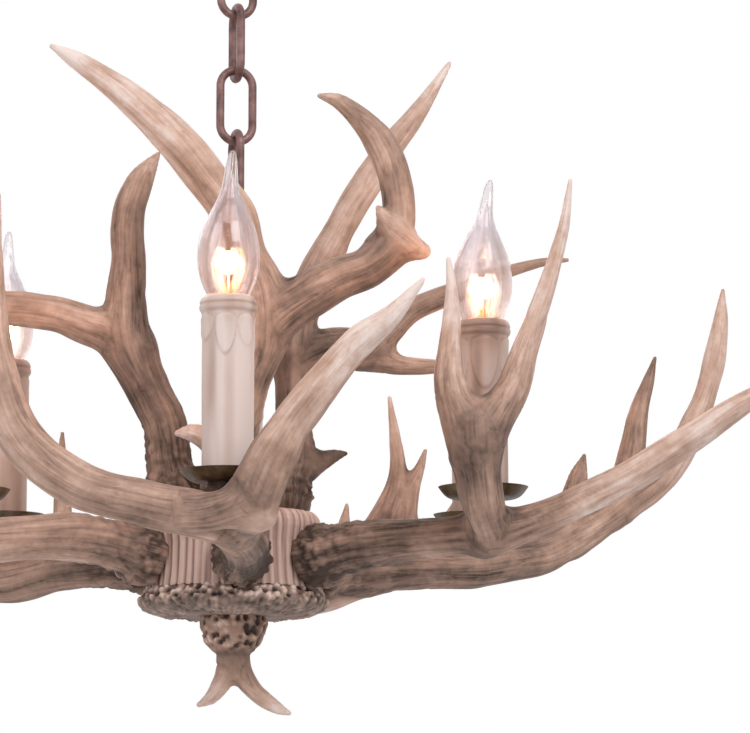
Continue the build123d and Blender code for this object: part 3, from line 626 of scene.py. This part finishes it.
class Nodes:
    """The nodes of a material or world round its one shader, and short ways to add more."""

    def __init__(self, owner, shader, end):
        owner.use_nodes = True
        self.tree = owner.node_tree
        self.shader = self.tree.nodes[shader]
        self.end = self.tree.nodes[end].inputs["Surface"]

    def set(self, socket, value):
        """A value that is the same everywhere."""
        self.shader.inputs[socket].default_value = value

    def node(self, kind, **settings):
        node = self.tree.nodes.new(kind)
        for key, value in settings.items():
            setattr(node, key, value)
        return node

    def link(self, source, target):
        self.tree.links.new(source, target)

    def feed(self, socket, source):
        self.link(source, self.shader.inputs[socket])

    def noise(self, way, stretch, scale, detail):
        """Noise over a vector, which is stretched first."""
        mapping = self.node("ShaderNodeMapping")
        mapping.inputs["Scale"].default_value = stretch
        self.link(way, mapping.inputs["Vector"])
        texture = self.node("ShaderNodeTexNoise")
        texture.inputs["Scale"].default_value = scale
        texture.inputs["Detail"].default_value = detail
        self.link(mapping.outputs["Vector"], texture.inputs["Vector"])
        return texture

    def speckle(self, scale, detail, stretch=(1, 1, 1)):
        """Noise fixed to the piece, finer as the scale grows."""
        spot = self.node("ShaderNodeTexCoord").outputs["Object"]
        texture = self.noise(spot, stretch, scale, detail)
        texture.inputs["Roughness"].default_value = 0.55
        return texture.outputs["Fac"]

    def streaks(self, way, stretch, detail):
        """Noise in the grain's own millimetres, drawn out along it."""
        return self.noise(way, stretch, 1.0, detail).outputs["Fac"]

    def level(self, factor, low, high, start, end):
        """The factor from low to high, as a number from start to end."""
        node = self.node("ShaderNodeMapRange")
        for key, value in (("From Min", low), ("From Max", high), ("To Min", start),
                           ("To Max", end)):
            node.inputs[key].default_value = value
        self.link(factor, node.inputs["Value"])
        return node.outputs["Result"]

    def attribute(self, name, output="Fac"):
        return self.node("ShaderNodeAttribute", attribute_name=name).outputs[output]

    def math(self, operation, a, b):
        node = self.node("ShaderNodeMath", operation=operation)
        for socket, value in zip(node.inputs, (a, b)):
            if isinstance(value, (int, float)):
                socket.default_value = value
            else:
                self.link(value, socket)
        return node.outputs[0]

    def add(self, a, b):
        return self.math("ADD", a, b)

    def times(self, a, b):
        return self.math("MULTIPLY", a, b)

    def ramp(self, factor, *stops):
        """Colour by factor, from stops of (place, red, green, blue)."""
        node = self.node("ShaderNodeValToRGB")
        elements = node.color_ramp.elements
        elements[0].position, elements[1].position = stops[0][0], stops[-1][0]
        for place, *_ in stops[1:-1]:
            elements.new(place)
        for element, (_, *colour) in zip(elements, stops):
            element.color = linear(*colour)
        self.link(factor, node.inputs["Fac"])
        return node.outputs["Color"]

    def paint(self, factor, *stops):
        self.feed("Base Color", self.ramp(factor, *stops))

    def rough(self, factor, low, high):
        self.feed("Roughness", self.level(factor, 0.0, 1.0, low, high))

    def bump(self, height, strength, depth):
        node = self.node("ShaderNodeBump")
        node.inputs["Strength"].default_value = strength
        node.inputs["Distance"].default_value = depth * MM
        self.link(height, node.inputs["Height"])
        self.feed("Normal", node.outputs["Normal"])

    def blend(self, factor, other):
        """Show another shader in place of this one where the factor says so."""
        mixer = self.node("ShaderNodeMixShader")
        self.link(factor, mixer.inputs["Fac"])
        self.link(self.shader.outputs[0], mixer.inputs[1])
        self.link(other.outputs[0], mixer.inputs[2])
        self.link(mixer.outputs[0], self.end)

    def show_white(self, white, share):
        """Show a share of white to the camera, also through glass and in metal."""
        rays = self.node("ShaderNodeLightPath").outputs
        seen = rays["Is Camera Ray"]
        for ray in ("Is Glossy Ray", "Is Transmission Ray"):
            seen = self.math("MAXIMUM", seen, rays[ray])
        self.blend(self.times(seen, share), white)


class Recipe(Nodes):
    """A material with a Principled shader."""

    def __init__(self, name, roughness, metallic=0.0):
        self.material = bpy.data.materials.new(name)
        super().__init__(self.material, "Principled BSDF", "Material Output")
        self.set("Roughness", roughness)
        self.set("Metallic", metallic)


def antler_material():
    """Weathered cast antler: tones along its length, fine streaks along the grain."""
    mat = Recipe("antler", 0.62)
    mat.set("Specular IOR Level", 0.28)
    way = mat.attribute("grain", "Vector")
    fine = mat.streaks(way, (0.6, 0.6, 0.035), 3)
    broad = mat.streaks(way, (0.2, 0.2, 0.014), 2)
    lines = mat.streaks(way, (0.17, 0.17, 0.013), 2)
    thin = mat.math("ABSOLUTE", mat.math("SUBTRACT", lines, 0.5), 0)
    thin = mat.level(thin, 0.0, 0.025, 1.0, 0.0)
    tone = mat.attribute("tone")
    quiet = mat.level(mat.attribute("joint"), 0.0, 1.0, 1.0, 0.1)
    quiet = mat.times(quiet, mat.level(tone, 0.55, 1.0, 1.0, 0.45))
    streak = mat.add(mat.level(fine, 0.25, 0.75, -0.13, 0.13),
                     mat.level(broad, 0.25, 0.75, -0.14, 0.14))
    streak = mat.math("SUBTRACT", streak, mat.times(thin, 0.13))
    mottle = mat.add(mat.level(mat.speckle(38, 5), 0.3, 0.7, -0.13, 0.13),
                     mat.level(mat.speckle(210, 3), 0.3, 0.7, -0.06, 0.06))
    mat.paint(mat.add(tone, mat.add(mat.times(streak, quiet), mottle)),
              (0.0, 73, 57, 48), (0.25, 129, 104, 92), (0.5, 170, 137, 120),
              (0.75, 203, 170, 154), (1.0, 230, 211, 203))
    mat.rough(fine, 0.5, 0.74)
    mat.bump(mat.add(fine, mat.times(thin, -0.5)), 0.45, 0.5)
    return mat.material


def iron_material(name, dark, light, roughness):
    """Brown painted iron, worn through in specks."""
    mat = Recipe(name, roughness, 0.35)
    mat.paint(mat.speckle(140, 5), (0.32, *dark), (0.62, *light))
    mat.rough(mat.speckle(260, 4), roughness - 0.12, roughness + 0.14)
    mat.bump(mat.speckle(420, 4), 0.3, 0.35)
    return mat.material


def wax_material():
    """Candle wax that lets a little light in."""
    mat = Recipe("candle_wax", 0.5)
    mottle = mat.times(mat.speckle(60, 4, (1, 1, 0.35)), 0.35)
    mat.paint(mat.add(mat.attribute("tone"), mottle),
              (0.1, 132, 102, 88), (0.45, 184, 154, 140), (0.8, 219, 201, 194))
    mat.set("Subsurface Weight", 0.12)
    mat.set("Subsurface Radius", (0.006, 0.003, 0.002))
    mat.bump(mat.speckle(300, 3), 0.15, 0.4)
    return mat.material


def lacing_material():
    """The hub's ribs, with painted shade between them."""
    mat = Recipe("hub_lacing", 0.6)
    mottle = mat.times(mat.speckle(160, 4, (1, 1, 0.3)), 0.3)
    mat.paint(mat.add(mat.attribute("tone"), mottle),
              (0.15, 92, 70, 62), (0.5, 158, 127, 116), (0.85, 196, 166, 154))
    mat.bump(mat.speckle(500, 3), 0.3, 0.4)
    return mat.material


def coral_material():
    """The burr ring: pale knobs, dark pits."""
    mat = Recipe("burr_coral", 0.66)
    mottle = mat.level(mat.speckle(210, 4), 0.3, 0.7, -0.16, 0.16)
    mat.paint(mat.add(mat.attribute("tone"), mottle),
              (0.0, 56, 45, 42), (0.3, 108, 88, 79), (0.55, 146, 122, 111),
              (0.8, 186, 156, 142), (1.0, 214, 190, 178))
    mat.bump(mat.speckle(420, 4), 0.4, 0.5)
    return mat.material


def glass_material():
    """Clear blown glass with painted glow near its filament. Rays from lamps pass straight
    through it.
    """
    mat = Recipe("clear_glass", 0.02)
    tone = mat.attribute("tone")
    # Painted light: where the tone is high the glass is tinted warmer and made to glow
    mat.paint(tone, (0.0, 234, 228, 231), (1.0, 246, 233, 226))
    mat.set("Transmission Weight", 1.0)
    mat.set("IOR", 1.45)
    mat.set("Emission Color", linear(255, 176, 120))
    mat.feed("Emission Strength", mat.times(tone, GLASS_PAINTED_GLOW))
    clear = mat.node("ShaderNodeBsdfTransparent")
    clear.inputs["Color"].default_value = linear(247, 242, 243)
    lamp_ray = mat.node("ShaderNodeLightPath").outputs["Is Shadow Ray"]
    mat.blend(mat.math("MAXIMUM", lamp_ray, GLASS_CLEAR), clear)
    return mat.material


def filament_material():
    """Glowing wire, white-hot in places and orange in others."""
    mat = Recipe("filament", 0.4)
    glow = mat.ramp(mat.speckle(95, 1, (1, 1, 0.4)),
                    (0.36, 250, 184, 138), (0.48, 255, 226, 200), (0.58, 255, 247, 238))
    mat.feed("Emission Color", glow)
    mat.feed("Base Color", glow)
    mat.set("Emission Strength", 1.05)
    return mat.material


def metal_material(name, bright, roughness):
    """Bare metal, dulled in specks."""
    mat = Recipe(name, roughness, 1.0)
    specks = mat.node("ShaderNodeMix", data_type="RGBA")
    bright = linear(*bright)
    specks.inputs["A"].default_value = bright
    specks.inputs["B"].default_value = tuple(c * METAL_DULL for c in bright[:3]) + (1.0,)
    mat.link(mat.speckle(220, 3), specks.inputs["Factor"])
    mat.feed("Base Color", specks.outputs["Result"])
    mat.bump(mat.speckle(500, 2, (1, 1, 0.1)), 0.12, 0.15)
    return mat.material


def holder_material():
    """Ivory moulded plastic, slightly yellowed."""
    mat = Recipe("holder_plastic", 0.35)
    mat.paint(mat.speckle(90, 3), (0.35, 214, 204, 184), (0.65, 226, 218, 200))
    mat.rough(mat.speckle(240, 3), 0.3, 0.42)
    mat.bump(mat.speckle(700, 2), 0.1, 0.15)
    return mat.material


ANTLER = antler_material()
CHAIN_IRON = iron_material("chain_iron", (84, 58, 55), (138, 104, 100), 0.5)
BRONZE = iron_material("dish_bronze", (58, 44, 30), (104, 82, 56), 0.42)
WAX = wax_material()
LACING = lacing_material()
CORAL = coral_material()
GLASS = glass_material()
FILAMENT = filament_material()
CAP_METAL = metal_material("cap_brass", (206, 186, 140), 0.3)
STEEL = metal_material("zinc_steel", (176, 176, 178), 0.35)
HOLDER = holder_material()


def coat(piece, material):
    """Give a piece one material."""
    piece.data.materials.append(material)


def recoat(node, material):
    """A better material for a CAD part that stays."""
    for slot in bpy.data.objects[node].material_slots:
        slot.material = material


def stand_for(piece, material, node, body=BODY):
    """Coat a piece, and let it take a CAD node's place."""
    coat(piece, material)
    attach(piece, body)
    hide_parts(node)


# ---- antlers made and placed
ARM_SUNK = 3.5  # an arm's flat end lies this far inside the drum's round side
FOOT_SUNK = 9.0  # an upright's burr reaches this far down round the drum's shoulder
KNOB_SUNK = 1.0
ARM_SEED, UPRIGHT_SEED, FINIAL_SEED, SEED_STEP = 100, 7000, 9100, 900


def candle_spot(azimuth):
    return CANDLE_R * cos(radians(azimuth)), CANDLE_R * sin(radians(azimuth))


def pedestal(azimuth):
    """The stub on an arm that a candle's dish stands on."""
    x, y = candle_spot(azimuth)
    return [(x, y, -34, 9), (x, y, -24, 9), (x, y, -15, 9.6), (x, y, -10.5, 10.4)]


for i, ((side, limbs), azimuth) in enumerate(zip(ARMS.items(), CANDLE_AZIMUTHS)):
    arm = antler(f"{side}_arm_antler_skin", limbs, ARM_TONES[side], ARM_SEED + SEED_STEP * i,
                 [pedestal(azimuth)], ARM_SUNK)
    stand_for(arm, ANTLER, f"{side}_arm_antler")

for i, (side, limbs) in enumerate(UPRIGHTS.items()):
    upright = antler(f"{side}_upright_antler_skin", limbs, UPRIGHT_TONES[side],
                     UPRIGHT_SEED + SEED_STEP * i, sunk=FOOT_SUNK)
    stand_for(upright, ANTLER, f"{side}_upright_antler")

finial = antler("finial_skin", FINIAL, FINIAL_TONES, FINIAL_SEED, sunk=KNOB_SUNK, pitted=True)
stand_for(finial, ANTLER, "finial")


# ---- the hub
RIBS = 56


def drum_shape(turn, radius, height):
    """Upright laced ribs of uneven width round the side and shoulder, rough on the top."""
    ring = np.stack([turn * 52, height / 6, radius], 1)
    sway = noise(ring / (14, 9, 30), 61)
    drift = noise(ring / (6, 11, 30), 64)
    ribs = np.cos(turn * RIBS + 2.6 * sway + 1.5 * drift)
    thin = np.cos(turn * RIBS * 2.0 + 3.1 * sway + 1.0)
    wide = noise(ring / (19, 20, 40), 62)
    side = step(radius, 46, 51)
    lift = side * (0.45 * ribs + 0.25 * thin + 0.8 * wide + 0.35 * drift)
    top = (1 - side) * step(height, -14, -11)
    rough = fractal(spots(turn, radius, height) / 7.0, 3, 63)
    lift = lift + top * 0.35 * rough
    # The tone follows the ribs' relief: painted shade in the grooves and lighter crests; the
    # broad noise is the lacing's own uneven tone.
    tone = 0.55 + side * (0.3 * ribs + 0.14 * thin + 0.16 * wide) + top * (0.25 * rough - 0.12)
    return lift, tone


drum = spun("hub_lacing", [(46, DRUM_FOOT), (53.4, DRUM_FOOT), (52.6, DRUM_FOOT + 5),
                           (52, DRUM_FOOT + 12), (51.6, -30), (53, -20), (52.9, -16.5),
                           (51.8, -13.2), (49.6, -10.8), (46, -9.4), (38, -8.4), (30, -7.6),
                           (22, -5), (16, 0), (6.5, 0), (6.5, -9), (30, -13), (46, -16)],
            420, 1.1, drum_shape)
stand_for(drum, LACING, "hub_drum")


def ring_shape(turn, radius, height):
    """Coral knobs and pits round the ring's brow, streaks running in under it."""
    place = spots(turn, radius, height)
    knobs = step(cells(place / 4.4, 71), 0.75, 0.15)
    pits = step(cells(place / 5.2, 75), 0.52, 0.15)
    rough = fractal(place / 8, 3, 77)
    brow = step(radius, 48, 53) * step(height, RING_FOOT + 5, RING_FOOT + 11)
    streaks = np.cos(turn * 90 + 4 * rough)
    under = step(radius, 26, 40) * (1 - brow)
    lift = brow * (2.0 * knobs - 2.2 * pits - 0.3)
    lift = lift + under * (0.7 * rough + 0.25 * streaks + 0.5 * knobs - 0.7 * pits)
    lift = np.where(radius < 20, 0, lift)
    tone = 0.42 + brow * (0.78 * knobs - 0.8 * pits + 0.02)
    tone = tone + under * (0.2 * rough + 0.06 * streaks + 0.14 * knobs - 0.26 * pits)
    return lift, tone


ring = spun("burr_ring_skin", [(6.5, RING_FOOT), (30, RING_FOOT), (44, RING_FOOT),
                               (50, RING_FOOT + 2), (55, RING_FOOT + 4), (57.4, RING_FOOT + 7.5),
                               (57, RING_FOOT + 10.5), (54.5, RING_FOOT + 13),
                               (52, RING_FOOT + 16.5), (6.5, RING_FOOT + 16.5)],
            480, 0.8, ring_shape)
stand_for(ring, CORAL, "burr_ring")


# ---- candles
SLEEVE_FOOT = -7.4
SLEEVE_TOP = 96.6
COLLAR = 87.5
DRIPS = [7, 5, 6, 7, 5, 6]
SLEEVE_TONES = [0.08, -0.14, -0.05, 0.0, -0.1, 0.02]  # some candles are browner than others
SLEEVE_OUTSIDE = [(13, SLEEVE_FOOT), (15, SLEEVE_FOOT), (15, 20), (15, 86.6), (15.5, COLLAR),
                  (16.3, 88.8), (16.5, 90.6), (16.3, 92.8), (15.6, 94.8), (14.6, 96.1),
                  (13.9, SLEEVE_TOP), (13.0, 96.2)]


def sleeve_shape(seed):
    """Wax run down from a rolled collar: arched drips under it, soft flutes below."""
    def shape(turn, radius, height):
        outside = step(radius, 13.6, 14.6)
        drips = DRIPS[seed - 1]
        part = turn / (2 * pi) * drips + 0.37 * seed
        number = np.floor(part)
        across = (part - number - 0.5) * 2
        ids = number.astype(np.int64) % drips
        reach = 13 + 14 * lattice_value(ids, ids * 3 + 1, ids * 0 + seed, 81)
        reach = reach * (7 / drips) ** 2
        below = COLLAR - height
        brow = 1.5 + 3.2 * across ** 2
        foot = reach * np.sqrt(np.maximum(1 - across ** 2, 0.02))
        drip = step(below, brow - 0.6, brow + 1.4) * (1 - step(below, foot - 1.6, foot + 1.4))
        drip = drip * (1 - step(np.abs(across), 0.78, 0.97))
        place = np.stack([turn * 15, height / 9, radius], 1)
        soft = noise(place / (5.5, 6, 30), 90 + seed)
        slow = noise(place / (10, 14, 30), 190 + seed)
        low = step(below, 2, 8)
        collar = 1 - step(below, -0.5, 1.0)
        lift = outside * (0.6 * drip - 0.35 * low + low * (0.45 * soft + 0.35 * slow))
        lift = lift + outside * collar * (0.3 * soft - 0.5 * np.exp(-((below + 4.2) / 0.8) ** 2))
        # Painted shade: dark lines along each drip's brow and foot, where its raised edge is
        # shaded
        edge = np.exp(-((below - brow) / 0.9) ** 2) + np.exp(-((below - foot) / 1.3) ** 2)
        edge = edge * (np.abs(across) < 0.9)
        tone = 0.5 + SLEEVE_TONES[seed - 1] + 0.3 * soft + 0.2 * slow + 0.08 * drip
        tone = tone - 0.15 * outside * edge - 0.02 * collar - 0.14 * np.exp(-np.abs(below) / 22)
        # Painted shade in the groove round the collar's rim
        tone = tone - 0.2 * collar * np.exp(-((below + 4.2) / 1.0) ** 2)
        return lift, tone
    return shape


GLASS_OUTSIDE = [(9, 77), (9.1, 84), (9.6, 90), (12.0, 97), (14.3, 102), (16.1, 107),
                 (17.3, 112.5), (17.7, 119), (17.4, 125), (16.5, 131), (14.6, 137), (12.1, 142.5),
                 (9.7, 147.5), (7.4, 152), (5.7, 156.5), (4.6, 161.5), (3.9, 166.5), (3.5, 171),
                 (3.0, 175), (2.3, 178.5), (1.3, 180.7), (0, 181.3)]
GLASS_SKIN = 0.8
NECK = 150  # above this height the glass grows thicker
THICKER = 0.13
DRAWN_TIP = 170  # above this height a bulb's drawn-out tip is solid glass


def painted_glow_band(turn, radius, height):
    """No change of shape; the tone is the painted glow of the filament's light on the glass."""
    return 0.0, step(height, 84, 100) * (1 - step(height, 112, 152))


BEND_FOOT, BEND_SPAN = 128, 53
TIP_BENDS = [2.0, 5.0, 3.0, 3.0, 3.0, 3.0]  # how far each bulb's tip leans
TIP_WAYS = [15, -20, 140, 200, 75, 260]  # which way each bulb's tip leans


def bend_tip(piece, azimuth, lean):
    """Lean the drawn-out tip of a bulb over to one side."""
    for vertex in piece.data.vertices:
        up = (vertex.co.z / MM - HUB_TOP - BEND_FOOT) / BEND_SPAN
        if up > 0:
            vertex.co.x += lean * MM * up * up * cos(azimuth)
            vertex.co.y += lean * MM * up * up * sin(azimuth)


STROKES = 8  # strokes of a filament's wire, up or down
HOT_FOOT, HOT_TOP = 97.5, 123.5
HOT_WIRE = 0.62  # the radius its glow gives it
GLOW_HEIGHT = 116
GLOW_POWER = 0.08


def filament_path(x, y):
    """A cage of hot wire, up and down round a narrowing barrel."""
    path = []
    for i in range(STROKES):
        angle = 2 * pi * i / STROKES
        for t in np.linspace(0, 1, 10):
            share = t if i % 2 == 0 else 1 - t
            radius = 2.4 + 4.2 * sin(0.8 * pi * share)
            swing = angle + (2 * pi / STROKES) * max(0, t - 0.75) * 2
            path.append((x + radius * cos(swing), y + radius * sin(swing),
                         HUB_TOP + HOT_FOOT + share * (HOT_TOP - HOT_FOOT)))
    return path


inside = [(r - GLASS_SKIN - THICKER * max(h - NECK, 0), h) for r, h in GLASS_OUTSIDE
          if h < DRAWN_TIP]
GLASS_OUTLINE = GLASS_OUTSIDE + [(0, DRAWN_TIP)] + inside[::-1]
for i, azimuth in enumerate(CANDLE_AZIMUTHS, start=1):
    x, y = candle_spot(azimuth)
    sleeve = spun(f"sleeve_{i}_wax", SLEEVE_OUTSIDE, 144, 0.9, sleeve_shape(i), (x, y))
    stand_for(sleeve, WAX, f"candle_sleeve_{i}")
    glass = spun(f"bulb_{i}_envelope", GLASS_OUTLINE, 72, 1.3, painted_glow_band, (x, y))
    bend_tip(glass, radians(TIP_WAYS[i - 1]), TIP_BENDS[i - 1])
    stand_for(glass, GLASS, f"bulb_glass_{i}", f"bulb_{i}")
    hot = wire(f"bulb_{i}_filament", filament_path(x, y), HOT_WIRE)
    coat(hot, FILAMENT)
    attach(hot, f"bulb_{i}")
    lamp = bpy.data.lights.new(f"glow_{i}", "POINT")
    lamp.energy = GLOW_POWER
    lamp.color = (1.0, 0.56, 0.26)
    lamp.shadow_soft_size = 0.006
    glow = place_object(f"glow_{i}", lamp, (x * MM, y * MM, (HUB_TOP + GLOW_HEIGHT) * MM))
    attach(glow, f"bulb_{i}")

# ---- CAD parts that stay
for node in ("ceiling_strap", "canopy_nipple", "canopy_nut", "stem_nut", "hub_core",
             "antler_screws", "candle_nipples"):
    recoat(node, STEEL)
for node in ("canopy", "canopy_eye", "stem_tube", "stem_eye",
             *(f"chain_link_{i}" for i in range(1, 6))):
    recoat(node, CHAIN_IRON)
for i in range(1, 7):
    recoat(f"drip_dish_{i}", BRONZE)
    recoat(f"lampholder_{i}", HOLDER)
    recoat(f"bulb_cap_{i}", CAP_METAL)


# ---- camera, light and floor
EYE = (0.0, -2.053, -0.655)
FOCAL = 3333  # the focal length in pixels of the photo
AIM_RIGHT = atan(140 / FOCAL)
AIM_UP = atan(476.5 / FOCAL)
camera = bpy.data.cameras.new("camera")
camera.sensor_width = 36.0
camera.lens = 161.76
camera.clip_start = 0.05
viewer = place_object("camera", camera, EYE)
viewer.rotation_euler = (pi / 2 + AIM_UP, 0, -AIM_RIGHT)
bpy.context.scene.camera = viewer

MIDDLE = (0, 0, (HUB_TOP + 60) * MM)  # what the lamps point at
for name, spot, size, energy in (("key", (1.2, -2.2, 1.7), 1.6, 66),
                                 ("fill", (-2.2, -1.6, 0.2), 1.8, 16),
                                 ("rim", (-0.8, 2.3, 1.2), 1.8, 18)):
    lamp = bpy.data.lights.new(name, "AREA")
    lamp.shape = "SQUARE"
    lamp.size = size
    lamp.energy = energy
    holder = place_object(name, lamp, spot)
    way = Vector(MIDDLE) - Vector(spot)
    holder.rotation_euler = way.to_track_quat("-Z", "Y").to_euler()

DOME_LIGHT = 0.52
world = bpy.data.worlds.new("studio")
bpy.context.scene.world = world
sky = Nodes(world, "Background", "World Output")
white = sky.node("ShaderNodeBackground")
for part, strength in ((sky.shader, DOME_LIGHT), (white, 1.0)):
    part.inputs["Color"].default_value = (1, 1, 1, 1)
    part.inputs["Strength"].default_value = strength
sky.show_white(white, 1.0)

FLOOR_BELOW = -1.9
FLOOR_WIDE = 30
FLOOR_GLOW = 0.75  # share of plain white in the floor, so that the object's shadow stays
bpy.ops.mesh.primitive_plane_add(size=FLOOR_WIDE, location=(0, 0, FLOOR_BELOW))
floor = bpy.context.object
floor.name = "floor"
pale = Recipe("floor_paint", 0.8)
pale.paint(pale.speckle(3, 3), (0.3, 240, 240, 240), (0.7, 246, 246, 246))
pale.show_white(pale.node("ShaderNodeEmission"), FLOOR_GLOW)
coat(floor, pale.material)

bpy.context.scene.view_settings.view_transform = "Standard"
